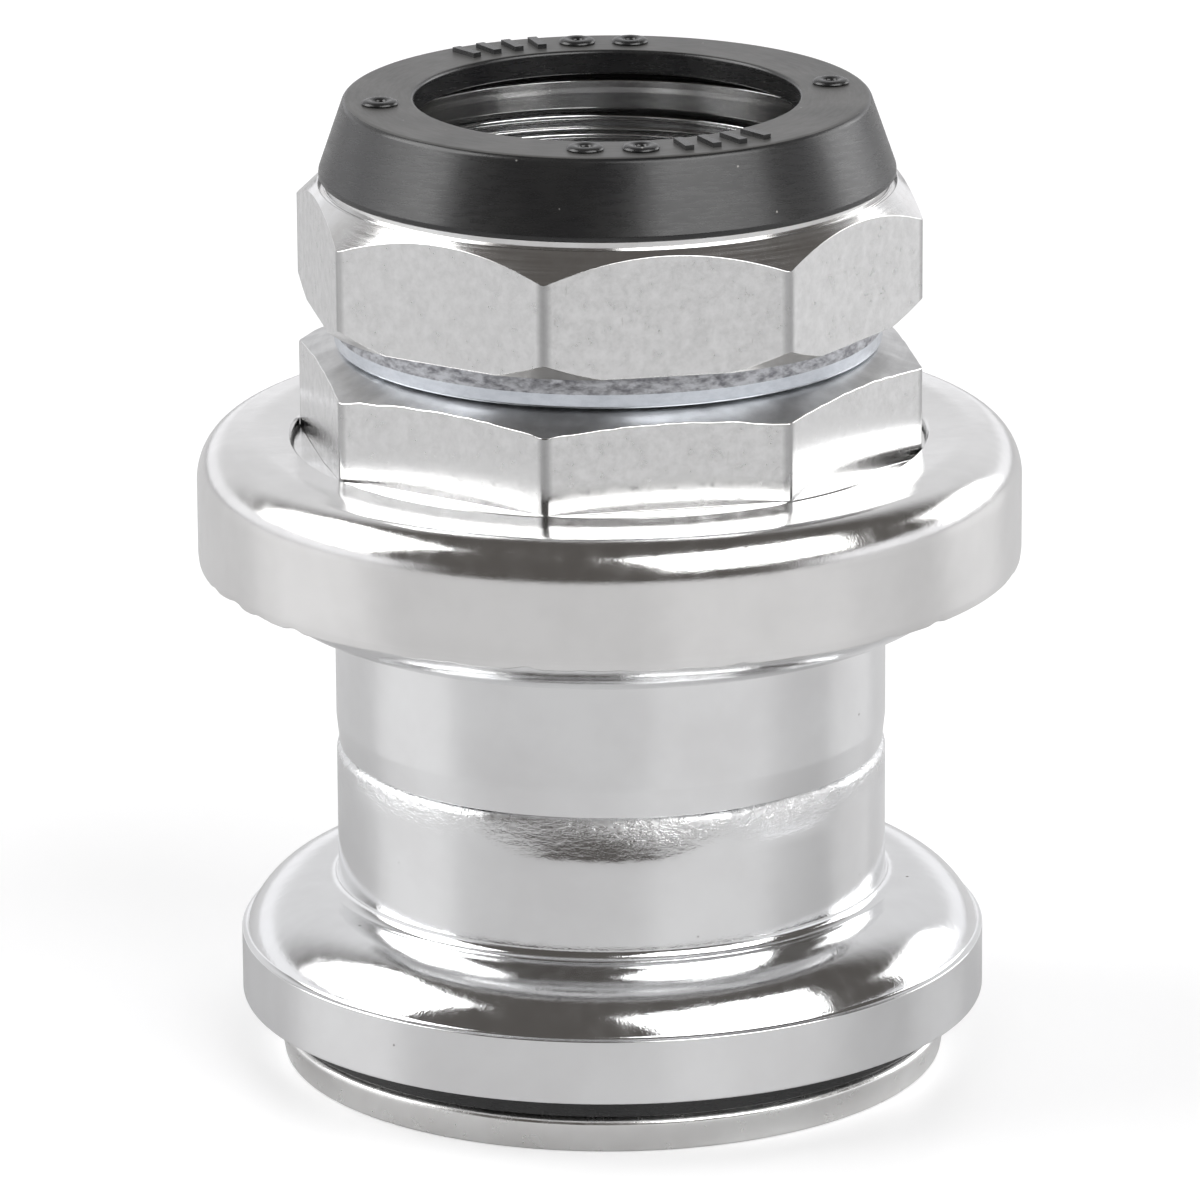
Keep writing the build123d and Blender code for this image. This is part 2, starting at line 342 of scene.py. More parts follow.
class Bench(Nodes):
    """Lays out the nodes of one material, with patterns measured in millimetres."""

    def __init__(self, name: str) -> None:
        """Starts a material of that name with its Principled shader."""
        self.material = bpy.data.materials.new(name)
        self.material.use_nodes = True
        super().__init__(self.material.node_tree)
        self.shader = self.tree.nodes["Principled BSDF"]
        metres = self.add("ShaderNodeTexCoord").outputs["Object"]
        self.place = self.add("ShaderNodeMapping", {"Vector": metres, "Scale": (1 / MM,) * 3}).outputs[0]

    def cloud(
        self, per_mm: float, detail: float = 2.0, rough: float = 0.5, place: Socket | None = None
    ) -> Socket:
        """Smooth noise.

        Args:
            per_mm: Features to the millimetre.
            detail: Octaves of finer noise.
            rough: Strength of the finer octaves.
            place: Coordinates in millimetres, the object's own if left out.

        Returns:
            The noise as a value between about 0 and 1.
        """
        feeds = {"Scale": per_mm, "Detail": detail, "Roughness": rough, "Vector": place or self.place}
        return self.add("ShaderNodeTexNoise", feeds).outputs["Fac"]

    def cells(self, per_mm: float) -> Socket:
        """Distance to the nearest of scattered points."""
        feeds = {"Scale": per_mm, "Vector": self.place}
        return self.add("ShaderNodeTexVoronoi", feeds).outputs["Distance"]

    def stretched(self, *factors: float) -> Socket:
        """Coordinates in millimetres, scaled along each axis."""
        feeds = {0: self.place, 1: factors}
        return self.add("ShaderNodeVectorMath", feeds, operation="MULTIPLY").outputs[0]

    def axes(self) -> Sequence[Socket]:
        """X, Y and Z of the object's own coordinates, in millimetres."""
        return self.add("ShaderNodeSeparateXYZ", {0: self.place}).outputs

    def round_the_axis(self, along: float) -> Socket:
        """Coordinates that follow turning marks.

        Args:
            along: How fast the pattern changes along a turning mark.

        Returns:
            A vector of (radius, a share of the way round, height).
        """
        x, y, z = self.axes()
        squares = self.math("ADD", self.math("MULTIPLY", x, x), self.math("MULTIPLY", y, y))
        height = self.math("ADD", z, self.math("MULTIPLY", y, along))
        feeds = {0: self.math("SQRT", squares), 1: self.math("MULTIPLY", x, along), 2: height}
        return self.add("ShaderNodeCombineXYZ", feeds).outputs[0]

    def to_corner(self, first_corner: float, radius: float) -> Socket:
        """Distance to the nearest upright edge of an octagon.

        Args:
            first_corner: Azimuth of one corner in degrees.
            radius: Distance of the corners from the axis in millimetres.

        Returns:
            The distance in millimetres, measured along the circle through the corners.
        """
        x, y, _ = self.axes()
        turned = self.math("SUBTRACT", self.math("ARCTAN2", y, x), towards_camera(first_corner))
        return self.math("MULTIPLY", self.math("PINGPONG", turned, math.pi / CORNERS_OF_OCTAGON), radius)

    def ramp(self, value: Socket, *stops: tuple[float, float | Colour]) -> Socket:
        """Maps a value through stops of (position, grey) or (position, colour)."""
        node = self.add("ShaderNodeValToRGB", {0: value})
        elements = node.color_ramp.elements
        while len(elements) < len(stops):
            elements.new(0.5)
        for element, (position, tone) in zip(elements, stops):
            element.position = position
            element.color = (*tone, 1) if isinstance(tone, tuple) else (tone, tone, tone, 1)
        return node.outputs[0]

    def finished(
        self,
        colour: Socket,
        roughness: Socket,
        layers: Sequence[tuple[Socket, float]],
        metallic: float = 1.0,
    ) -> Material:
        """Feeds the shader.

        Args:
            colour: The base colour.
            roughness: The roughness.
            layers: Pairs of a height pattern and its depth in millimetres, stacked as bumps.
            metallic: The metalness.

        Returns:
            The finished material.
        """
        feeds = {"Base Color": colour, "Roughness": roughness, "Metallic": metallic}
        for height, depth in layers:
            bump = {"Strength": 1.0, "Distance": depth * MM, "Height": height}
            if "Normal" in feeds:
                bump["Normal"] = feeds["Normal"]
            feeds["Normal"] = self.add("ShaderNodeBump", bump).outputs["Normal"]
        self.feed(self.shader, feeds)
        return self.material


@dataclass(frozen=True)
class Chrome:
    """Plated steel: orange peel from the pressing, cloudy patches and a few pits."""

    name: str
    colour: Colour = (0.86, 0.865, 0.87)
    shade: Colour = (0.80, 0.80, 0.805)
    roughness: float = 0.07
    dullness: float = 0.10
    peel_per_mm: float = 1.3
    peel_depth: float = 0.009
    grain_depth: float = 0.005
    drawn_depth: float = 0.0006
    pits: float = 0.045
    scuffed_node: str = ""
    scuffed_reach: float = 2.8
    scuffed_end: float = 0.05
    scuffed_dullness: float = 0.16
    scuffed_depth: float = 0.10

    def scuffed(self, bench: Bench) -> Socket:
        """Share of scuffing, which grows towards the top of a node and stops just below it."""
        height = bench.axes()[2]
        top = high_of(self.scuffed_node)
        last = top - self.scuffed_end
        growing = bench.share(height, top - self.scuffed_reach, last)
        return bench.math("MULTIPLY", growing, bench.math("LESS_THAN", height, last))

    def material(self) -> Material:
        """Builds the material."""
        bench = Bench(self.name)
        patches = bench.cloud(0.9, 3, 0.6)
        colour = bench.ramp(bench.cloud(0.16, 4, 0.6), (0.35, self.shade), (0.62, self.colour))
        pits = bench.ramp(bench.cells(0.42), (self.pits * 0.5, 1.0), (self.pits, 0.0))
        few = bench.math("MULTIPLY", pits, bench.ramp(patches, (0.52, 0.0), (0.58, 1.0)))
        roughness = bench.ramp(patches, (0.36, self.roughness), (0.72, self.roughness + self.dullness))
        layers = [
            (bench.cloud(self.peel_per_mm, 2, 0.45), self.peel_depth),
            (bench.cloud(5.0, 3, 0.65, bench.round_the_axis(0.06)), self.drawn_depth),
            (bench.cloud(9.0, 2, 0.6), self.grain_depth),
        ]
        if self.scuffed_node:
            share = self.scuffed(bench)
            roughness = bench.math("ADD", roughness, bench.math("MULTIPLY", share, self.scuffed_dullness))
            crumple = bench.cloud(1.5, 4, 0.7, bench.stretched(1.0, 1.0, 2.4))
            layers.append((bench.math("MULTIPLY", crumple, share), self.scuffed_depth))
        return bench.finished(bench.mix(few, colour, (0.16, 0.15, 0.14)), roughness, layers)


@dataclass(frozen=True)
class TurnedChrome:
    """Plated steel that was machined before: fine turning marks round the axis."""

    name: str
    colour: Colour = (0.86, 0.86, 0.86)
    shade: Colour = (0.78, 0.77, 0.76)
    roughness: float = 0.10
    marks_per_mm: float = 7.0
    mark_depth: float = 0.0012

    def material(self) -> Material:
        """Builds the material."""
        bench = Bench(self.name)
        marks = bench.cloud(self.marks_per_mm, 3, 0.7, bench.round_the_axis(0.02))
        colour = bench.ramp(bench.cloud(0.5, 4, 0.6), (0.35, self.shade), (0.65, self.colour))
        roughness = bench.ramp(marks, (0.3, self.roughness), (0.7, self.roughness + 0.12))
        return bench.finished(colour, roughness, [(marks, self.mark_depth), (bench.cloud(2.0, 2), 0.002)])


@dataclass(frozen=True)
class WrenchFlats:
    """Rolled bar under thin chrome: mottled, a little wavy, with scuffs from handling."""

    name: str
    colour: Colour = (0.82, 0.82, 0.82)
    shade: Colour = (0.70, 0.70, 0.70)
    roughness: float = 0.12
    corner_radius: float = 17.25

    def material(self) -> Material:
        """Builds the material."""
        bench = Bench(self.name)
        mottle = bench.cloud(1.4, 5, 0.72)
        drawn = bench.cloud(3.0, 3, 0.6, bench.stretched(1.0, 1.0, 0.25))
        colour = bench.ramp(mottle, (0.33, self.shade), (0.66, self.colour))
        nicks = bench.math("MULTIPLY", bench.ramp(drawn, (0.69, 0.0), (0.74, 1.0)), 0.5)
        # Darker line along each upright corner of the octagon.
        edge = bench.to_corner(Octagon.first_corner, self.corner_radius)
        corner_line = bench.ramp(edge, (0.0, 0.85), (0.2, 0.7), (0.45, 0.0))
        scuffed = bench.mix(nicks, colour, (0.5, 0.49, 0.48))
        roughness = bench.ramp(mottle, (0.35, self.roughness + 0.16), (0.65, self.roughness))
        layers = [(bench.cloud(0.35, 2, 0.5), 0.012), (drawn, 0.0012), (bench.cloud(10.0, 2, 0.6), 0.0006)]
        return bench.finished(bench.mix(corner_line, scuffed, (0.42, 0.42, 0.42)), roughness, layers)


@dataclass(frozen=True)
class TornZinc:
    """Blue zinc over a sheared edge, broken and sparkling where the blank tore."""

    name: str
    colour: Colour = (0.70, 0.75, 0.83)
    shade: Colour = (0.50, 0.54, 0.62)
    roughness: float = 0.22
    tear_depth: float = 0.02

    def material(self) -> Material:
        """Builds the material."""
        bench = Bench(self.name)
        tears = bench.cloud(2.4, 4, 0.7, bench.stretched(0.5, 0.5, 1.1))
        clouds = bench.cloud(0.25, 3, 0.6)
        colour = bench.ramp(tears, (0.36, self.shade), (0.6, self.colour))
        roughness = bench.ramp(clouds, (0.35, self.roughness), (0.65, self.roughness + 0.14))
        return bench.finished(colour, roughness, [(tears, self.tear_depth)])


@dataclass(frozen=True)
class Rubber:
    """Moulded black rubber with a satin skin, faint flow marks and settled dust."""

    name: str
    colour: Colour = (0.010, 0.010, 0.011)
    shade: Colour = (0.018, 0.018, 0.018)
    roughness: float = 0.25

    def material(self) -> Material:
        """Builds the material."""
        bench = Bench(self.name)
        streaks = bench.cloud(5.0, 3, 0.65, bench.round_the_axis(0.15))
        specks = bench.ramp(bench.cells(0.8), (0.035, 1.0), (0.06, 0.0))
        few = bench.math("MULTIPLY", specks, bench.ramp(bench.cloud(0.7, 2), (0.53, 0.0), (0.56, 1.0)))
        colour = bench.ramp(bench.cloud(0.3, 3, 0.5), (0.35, self.colour), (0.65, self.shade))
        roughness = bench.ramp(streaks, (0.35, self.roughness), (0.7, self.roughness + 0.07))
        layers = [(streaks, 0.002), (bench.cloud(0.8, 2), 0.008)]
        bench.feed(bench.shader, {"Specular IOR Level": 0.65})
        return bench.finished(bench.mix(few, colour, (0.35, 0.34, 0.32)), roughness, layers, 0.0)


@dataclass(frozen=True)
class OiledSteel:
    """Bare steel of the cages and balls, with a warm film of grease."""

    name: str
    colour: Colour = (0.62, 0.60, 0.56)
    shade: Colour = (0.42, 0.38, 0.31)
    roughness: float = 0.2

    def material(self) -> Material:
        """Builds the material."""
        bench = Bench(self.name)
        film = bench.cloud(0.8, 4, 0.6)
        colour = bench.ramp(film, (0.35, self.shade), (0.6, self.colour))
        roughness = bench.ramp(film, (0.3, self.roughness), (0.7, self.roughness + 0.2))
        return bench.finished(colour, roughness, [(bench.cloud(5.0, 2), 0.001)])


class Slot(Enum):
    """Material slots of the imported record."""

    BRIGHT = "bright_chrome"
    SATIN = "satin_chrome"
    MACHINED = "machined_chrome"
    RACE = "plated_race"
    ZINC = "zinc_steel"
    CAGE = "cage_steel"
    BALL = "ball_steel"
    RUBBER = "black_rubber"


class Body(Enum):
    """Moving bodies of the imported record."""

    CUPS = "head_cups"
    FORK = "fork_race"
    LOWER_CAGE = "lower_cage"
    UPPER_CAGE = "upper_cage"
    ADJUSTER = "adjuster"
    WASHER = "washer"
    NUT = "nut"


Finish = Chrome | TurnedChrome | WrenchFlats | TornZinc | Rubber | OiledSteel


def made(kind: type[Finish], name: str, **looks: object) -> Material:
    """Field of a wardrobe, whose material is built with the wardrobe."""
    return field(default_factory=lambda: kind(name, **looks).material())


@dataclass(frozen=True)
class Wardrobe:
    """The finishes of the whole headset, each built once."""

    cup: Material = made(Chrome, "cup_chrome", scuffed_node="lower_head_cup")
    cover: Material = made(
        Chrome,
        "cover_chrome",
        colour=(0.86, 0.855, 0.85),
        shade=(0.79, 0.785, 0.78),
        roughness=0.10,
        peel_per_mm=1.0,
        peel_depth=0.008,
        grain_depth=0.006,
        drawn_depth=0.002,
    )
    # Lighter tint than the other chrome: painted light that makes up for the shade near the floor contact.
    race: Material = made(
        Chrome,
        "race_plating",
        colour=(0.95, 0.95, 0.94),
        shade=(0.84, 0.83, 0.82),
        roughness=0.16,
        dullness=0.16,
        peel_per_mm=1.8,
        peel_depth=0.014,
        grain_depth=0.003,
        drawn_depth=0.001,
    )
    turned: Material = made(TurnedChrome, "turned_chrome")
    thread: Material = made(
        TurnedChrome,
        "thread_chrome",
        colour=(0.95, 0.95, 0.95),
        shade=(0.88, 0.88, 0.88),
        roughness=0.06,
    )
    matt: Material = made(
        TurnedChrome, "matt_chamfer", colour=(0.66, 0.66, 0.66), shade=(0.5, 0.5, 0.5), roughness=0.28
    )
    flats: Material = made(WrenchFlats, "wrench_flats")
    # Dark grey for the washer's torn band: partly the torn zinc's own rough tone, partly painted shade under
    # the locknut's foot.
    torn: Material = made(
        TornZinc, "torn_zinc", colour=(0.62, 0.63, 0.66), shade=(0.24, 0.24, 0.26), roughness=0.30
    )
    sheared: Material = made(
        TornZinc,
        "sheared_zinc",
        colour=(0.78, 0.82, 0.88),
        shade=(0.68, 0.72, 0.78),
        roughness=0.12,
        tear_depth=0.002,
    )
    rubber: Material = made(Rubber, "seal_rubber")
    # Lighter rubber for the seal's flat top: a painted sheen that stands for its satin reflection at a
    # grazing view.
    painted_sheen: Material = made(
        Rubber,
        "dusty_rubber",
        colour=(0.060, 0.059, 0.057),
        shade=(0.085, 0.083, 0.080),
        roughness=0.38,
    )
    cage: Material = made(OiledSteel, "cage_steel")
    ball: Material = made(
        OiledSteel, "ball_steel", colour=(0.80, 0.80, 0.80), shade=(0.68, 0.66, 0.62), roughness=0.05
    )


def dress(
    piece: Piece,
    materials: Sequence[Material],
    body: Body,
    nodes: Sequence[str] = (),
) -> Piece:
    """Gives a finished piece its materials, its body and the nodes that it stands for.

    Args:
        piece: The finished piece.
        materials: One material for each material index of its faces.
        body: Body that the piece rides on.
        nodes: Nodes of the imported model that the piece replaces.

    Returns:
        The same piece.
    """
    for material in materials[len(piece.data.materials):]:
        piece.data.materials.append(material)
    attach(piece, body.value)
    if nodes:
        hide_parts(*nodes)
    piece.data.calc_loop_triangles()
    log.info("%s: %d triangles on %s", piece.name, len(piece.data.loop_triangles), body.value)
    return piece


def paint_faces(piece: Piece, chooser: Callable[[Vector, Vector], int]) -> None:
    """Chooses a material index for each face.

    Args:
        piece: The piece, whose object sits at the origin.
        chooser: Gives the index from a face's middle in millimetres and its normal.
    """
    for polygon in piece.data.polygons:
        polygon.material_index = chooser(polygon.center / MM, polygon.normal)


def on_flats(middle: Vector, normal: Vector) -> bool:
    """Tells whether a face belongs to the upright walls of an octagon."""
    return math.hypot(middle.x, middle.y) > Octagon.width / 2 - WALL_SLACK and abs(normal.z) < WALL_TILT


# Repeated forms


class Grower(Nodes):
    """A Geometry Nodes tree with named inputs, baked into a plain mesh."""

    def __init__(self, name: str) -> None:
        """Starts an empty tree, named like the piece that it grows."""
        super().__init__(bpy.data.node_groups.new(name, "GeometryNodeTree"))
        self.name = name
        self.tree.interface.new_socket("Geometry", in_out="OUTPUT", socket_type="NodeSocketGeometry")
        self.inputs = self.add("NodeGroupInput")
        self.values: dict[str, object] = {}

    def size(self, name: str, value: float | int) -> Socket:
        """Adds a named input and gives its socket in the tree.

        Args:
            name: Name of the input.
            value: Its value; a whole number makes an integer input.

        Returns:
            The socket to link from.
        """
        kind = "NodeSocketInt" if isinstance(value, int) else "NodeSocketFloat"
        item = self.tree.interface.new_socket(name, in_out="INPUT", socket_type=kind)
        self.values[item.identifier] = value
        return self.inputs.outputs[name]

    def grow(self, geometry: Node, material: Material) -> Piece:
        """Ends the tree and bakes it.

        Args:
            geometry: The node whose geometry is kept.
            material: Material of the result.

        Returns:
            A plain mesh object at the origin.
        """
        smooth = self.add("GeometryNodeSetShadeSmooth", {"Geometry": geometry})
        realize = self.add("GeometryNodeRealizeInstances", {0: smooth})
        paint = self.add("GeometryNodeSetMaterial", {"Geometry": realize, "Material": material})
        self.add("NodeGroupOutput", {0: paint})
        host = placed(self.name + "_host", bpy.data.meshes.new(self.name + "_host"))
        modifier = host.modifiers.new("grow", "NODES")
        modifier.node_group = self.tree
        for identifier, value in self.values.items():
            modifier[identifier] = value
        graph = bpy.context.evaluated_depsgraph_get()
        mesh = bpy.data.meshes.new_from_object(host.evaluated_get(graph), depsgraph=graph)
        host.modifiers.remove(modifier)
        bpy.data.objects.remove(host)
        mesh.name = self.name
        return placed(self.name, mesh)


@dataclass(frozen=True)
class Thread:
    """Right-handed internal thread: a helical ridge on the wall of a bore."""

    name: str
    low: float
    high: float
    major_radius: float = 12.72
    pitch: float = 25.4 / 24
    depth: float = 0.593
    sunk: float = 0.01
    root_share: float = 0.9
    crest_share: float = 0.16
    crest_rounding: float = 0.07
    steps_per_turn: int = 96
    sharp_above: float = 35.0

    def build(self, material: Material) -> Piece:
        """Grows the ridge between its lowest and highest level.

        Args:
            material: Material of the ridge.

        Returns:
            The ridge as a piece.
        """
        root_width = self.root_share * self.pitch
        turns = (self.high - self.low - root_width) / self.pitch
        grower = Grower(self.name)
        radius = grower.size("Major radius", self.major_radius * MM)
        spiral = grower.add(
            "GeometryNodeCurveSpiral",
            {
                "Resolution": grower.size("Steps in a turn", self.steps_per_turn),
                "Rotations": grower.size("Turns", turns),
                "Start Radius": radius,
                "End Radius": radius,
                "Height": grower.size("Length", turns * self.pitch * MM),
                "Reverse": True,
            },
        )
        upright = grower.add("GeometryNodeSetCurveNormal", {"Curve": spiral}, mode="Z_UP")
        ridge = grower.add(
            "GeometryNodeCurvePrimitiveQuadrilateral",
            {
                "Height": grower.size("Depth", self.depth * MM),
                "Bottom Width": grower.size("Root width", root_width * MM),
                "Top Width": grower.size("Crest width", self.crest_share * self.pitch * MM),
                "Offset": 0,
            },
            mode="TRAPEZOID",
        )
        inwards = {
            "Geometry": ridge,
            "Rotation": (0, 0, math.radians(90)),
            "Translation": ((self.sunk - self.depth / 2) * MM, 0, 0),
        }
        section = {
            "Curve": grower.add("GeometryNodeTransform", inwards),
            "Count": 3,
            "Radius": grower.size("Crest rounding", self.crest_rounding * MM),
        }
        soften = grower.add("GeometryNodeFilletCurve", section, mode="POLY")
        swept = {"Curve": upright, "Profile Curve": soften, "Fill Caps": True}
        sweep = grower.add("GeometryNodeCurveToMesh", swept)
        level = (0, 0, (self.low + root_width / 2) * MM)
        lift = grower.add("GeometryNodeTransform", {"Geometry": sweep, "Translation": level})
        piece = grower.grow(lift, material)
        piece.data.set_sharp_from_angle(angle=math.radians(self.sharp_above))
        return piece


# Sub-assemblies


@cache
def low_of(node: str) -> float:
    """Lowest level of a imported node, in millimetres."""
    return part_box(node)[0].z / MM


@cache
def high_of(node: str) -> float:
    """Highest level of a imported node, in millimetres."""
    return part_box(node)[1].z / MM


@dataclass(frozen=True)
class BallTrack:
    """Arc on which the balls roll."""

    ball_circle: float = 16.0
    radius: float = 2.1
    ball_radius: float = 1.984
    clearance: float = 0.03
    half_width: float = 30.0
    steps: int = 10

    def corners(self, ball_height: float, contact: float) -> list[Corner]:
        """Corners of the track's arc.

        Args:
            ball_height: Level of the balls' middles.
            contact: Direction of contact in degrees, up from the outward direction.

        Returns:
            The corners, from the lowest angle to the highest.
        """
        reach = self.radius - self.ball_radius - self.clearance
        direction = math.radians(contact)
        centre = (self.ball_circle - reach * math.cos(direction), ball_height - reach * math.sin(direction))
        return arc(centre, self.radius, contact - self.half_width, contact + self.half_width, self.steps)


@dataclass(frozen=True)
class Dent:
    """Place where the free end of a skirt is knocked inwards."""

    azimuth: float
    half_width: float
    depth: float
    reach: float

    def at(self, angle: float, from_end: float) -> float:
        """Depth of the dent.

        Args:
            angle: Direction in radians.
            from_end: Distance from the skirt's end in millimetres.

        Returns:
            The inward offset in millimetres.
        """
        turn = (angle - towards_camera(self.azimuth) + math.pi) % (2 * math.pi) - math.pi
        across = max(0.0, 1 - (math.degrees(turn) / self.half_width) ** 2)
        along = max(0.0, 1 - from_end / self.reach)
        return self.depth * across * along**1.2


@dataclass
class HeadCup:
    """Pressed cup: a straight band, a domed flange and the skirt that goes into the head tube."""

    node: str
    upper: bool
    height: float = 14.21
    mouth_radius: float = 19.0
    mouth_depth: float = 3.0
    band_radius: float = 20.5
    band_height: float = 3.58
    dome_radius: float = 4.05
    crest_radius: float = 16.4
    crest_height: float = 6.28
    root_fillet: float = 0.7
    skirt_radius: float = 15.1
    bore_radius: float = 13.75
    bore_depth: float = 5.5
    ball_depth: float = 2.75
    track: BallTrack = BallTrack()
    wall: Waviness = Waviness(0.03, 9.0, 3)
    crinkle: Waviness = Waviness(0.07, 60.0, 12)
    dents: tuple[Dent, ...] = (
        Dent(-2.0, 25.0, 0.72, 2.6),
        Dent(40.0, 15.0, 0.68, 2.2),
        Dent(-52.0, 16.0, 0.30, 1.8),
    )
    dent_rows: tuple[float, ...] = (3.0, 2.6, 2.2, 1.8, 1.4, 1.05)
    stations: int = 480

    def rim(self, angle: float) -> list[Corner]:
        """Corners of the skirt's free end: drawn in on the upper cup, knocked on the lower one."""
        if self.upper:
            return [
                Corner(self.skirt_radius, self.height - 1.6, 1.2),
                Corner(self.skirt_radius - 0.17, self.height, 0.1),
            ]
        rows = []
        for from_end in (*self.dent_rows, 0.0):
            depth = sum(dent.at(angle, from_end) for dent in self.dents)
            rough = self.crinkle.at(angle, from_end * 5) * min(1.0, 4 * depth)
            rows.append(Corner(self.skirt_radius - depth + rough, self.height - from_end))
        end = rows.pop()
        return [*rows, Corner(end.radius, end.height, 0.6)]

    def outline(self, angle: float) -> list[Corner]:
        """Outline at an angle.

        Args:
            angle: Direction in radians.

        Returns:
            The corners, with the mouth down at level 0.
        """
        dome_level = self.crest_height - self.dome_radius
        start = math.degrees(math.asin((self.band_height - dome_level) / self.dome_radius))
        uneven = self.wall.at(angle)
        return [
            Corner(self.mouth_radius, 0, 0.15),
            Corner(self.band_radius, 0, 0.12),
            Corner(self.band_radius, self.band_height, 0.08),
            *arc((self.crest_radius + uneven, dome_level), self.dome_radius, start, 90, 26),
            Corner(self.skirt_radius, self.crest_height, self.root_fillet),
            *self.rim(angle),
            Corner(self.bore_radius, self.height, 0.2),
            Corner(self.bore_radius, self.bore_depth, 0.2),
            *reversed(self.track.corners(self.ball_depth, 45)),
            Corner(self.mouth_radius, self.mouth_depth, 0.2),
        ]

    def build(self, wardrobe: Wardrobe) -> Piece:
        """Builds and dresses the cup."""
        if self.upper:
            mouth = high_of(self.node)
            outline = lambda angle: turned_over(self.outline(angle), mouth)
        else:
            mouth = low_of(self.node)
            outline = lambda angle: raised(self.outline(angle), mouth)
        piece = turn_ring(self.node + "_pressing", outline, even_angles(self.stations))
        return dress(piece, [wardrobe.cup], Body.CUPS, [self.node])


@dataclass
class CrownRace:
    """Crown race with its rubber ring."""

    foot_radius: float = 18.2
    radius: float = 18.5
    disc_height: float = 2.05
    cone_radius: float = 16.6
    land_fall: float = 0.2
    seat_radius: float = 13.2
    seal_radius: float = 18.4
    seal_lip: float = 0.7
    track: BallTrack = BallTrack()
    wall: Waviness = Waviness(0.05, 14.0, 8)

    def race_outline(self, angle: float) -> list[Corner]:
        """Outline of the race at an angle."""
        ball_height = low_of("lower_head_cup") + HeadCup.ball_depth
        cone = list(reversed(self.track.corners(ball_height, 225)))
        return [
            Corner(self.seat_radius, 0, 0.2),
            Corner(self.foot_radius, 0, 0.18),
            Corner(self.radius + self.wall.at(angle), self.disc_height - 0.3, 0.9),
            Corner(self.radius - 0.45, self.disc_height + self.wall.at(angle, 5), 0.25),
            Corner(self.cone_radius, self.disc_height, 0.15),
            Corner(self.cone_radius, cone[0].height - self.land_fall, 0.12),
            *cone,
            Corner(self.seat_radius, cone[-1].height, 0.2),
        ]

    def seal_outline(self, angle: float) -> list[Corner]:
        """Outline of the rubber ring at an angle."""
        low, high = low_of("ring_seal"), high_of("ring_seal")
        bore = self.cone_radius + 0.02
        return [
            Corner(bore, low, 0.05),
            Corner(self.seal_radius, low, 0.12),
            Corner(self.seal_radius + self.wall.at(angle, 9), high, 0.25),
            Corner(self.seal_radius - self.seal_lip, high, 0.25),
            Corner(bore, low + self.seal_lip, 0.1),
        ]

    def build(self, wardrobe: Wardrobe) -> None:
        """Builds and dresses the race and its ring."""
        # The race plating is lightened, painted light against the shade near the floor.
        race = turn_ring("crown_race_turning", self.race_outline, even_angles(288))
        dress(race, [wardrobe.race], Body.FORK, ["crown_race"])
        seal = turn_ring("ring_seal_moulding", self.seal_outline, even_angles(192))
        dress(seal, [wardrobe.rubber], Body.FORK, ["ring_seal"])


@dataclass
class BallBearing:
    """Balls of one bearing in their flat retainer."""

    side: str
    body: Body
    count: int = 16
    ball_circle: float = 16.0
    ball_radius: float = 1.984

    def build(self, wardrobe: Wardrobe) -> None:
        """Grows the balls on their circle and dresses the retainer."""
        first = f"{self.side}_ball_01"
        level = (low_of(first) + high_of(first)) / 2
        grower = Grower(f"{self.side}_bearing_balls")
        round_circle = {
            "Vertices": grower.size("Count", self.count),
            "Radius": grower.size("Ball circle", self.ball_circle * MM),
        }
        circle = grower.add("GeometryNodeMeshCircle", round_circle)
        sphere = {"Segments": 28, "Rings": 14, "Radius": grower.size("Ball radius", self.ball_radius * MM)}
        ball = grower.add("GeometryNodeMeshUVSphere", sphere)
        spread = grower.add("GeometryNodeInstanceOnPoints", {"Points": circle, "Instance": ball})
        lifted = {"Geometry": spread, "Translation": (0, 0, level * MM)}
        piece = grower.grow(grower.add("GeometryNodeTransform", lifted), wardrobe.ball)
        nodes = [f"{self.side}_ball_{number:02d}" for number in range(1, self.count + 1)]
        dress(piece, [wardrobe.ball], self.body, nodes)
        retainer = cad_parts[f"{self.side}_retainer"]
        retainer.data.materials.clear()
        retainer.data.materials.append(wardrobe.cage)
        log.info("%s: kept from the packed model", retainer.name)


